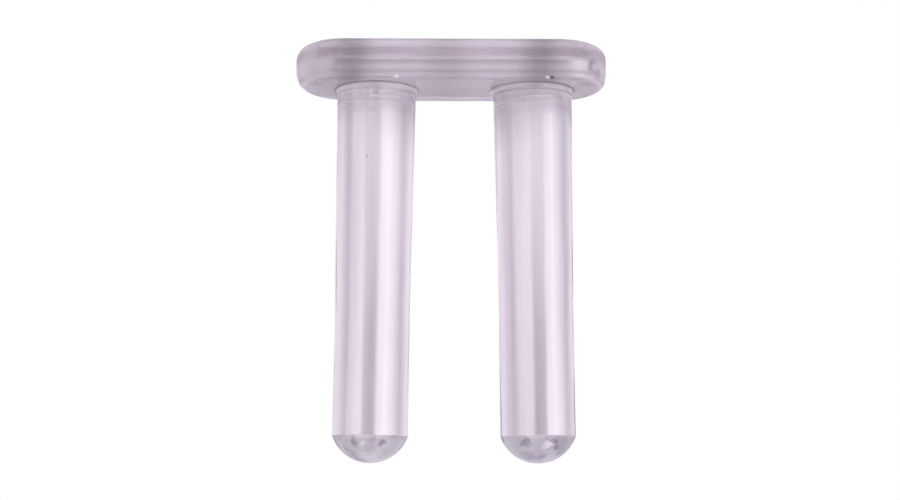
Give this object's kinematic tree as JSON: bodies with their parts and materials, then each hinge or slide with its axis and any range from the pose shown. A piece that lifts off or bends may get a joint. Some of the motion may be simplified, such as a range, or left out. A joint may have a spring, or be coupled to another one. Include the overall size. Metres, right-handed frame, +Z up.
{
  "type": "twin post plug",
  "caption": "Clear plastic plug: a stadium-shaped head plate with rounded edges and a pair of round posts with domed ends bonded under it.",
  "frame": {"origin": "centre of the head plate's flat underside; the pair of posts stands 0.28 mm off it, towards +X", "axes": "+Z up through the head plate, away from the posts; X along the plate, from the left post to the right; Y across the plate"},
  "size_m": [0.0252, 0.0082, 0.0337],
  "materials": {
    "clear_plastic": "clear moulded acrylic with a faint lavender tint, polished, with light flow marks",
    "cement": "clear solvent cement, dried glossy"
  },
  "bodies": {
    "root": {"head_plate": "clear_plastic", "left_post": "clear_plastic", "right_post": "clear_plastic", "left_root_bead": "cement", "right_root_bead": "cement"}
  },
  "joints": []
}
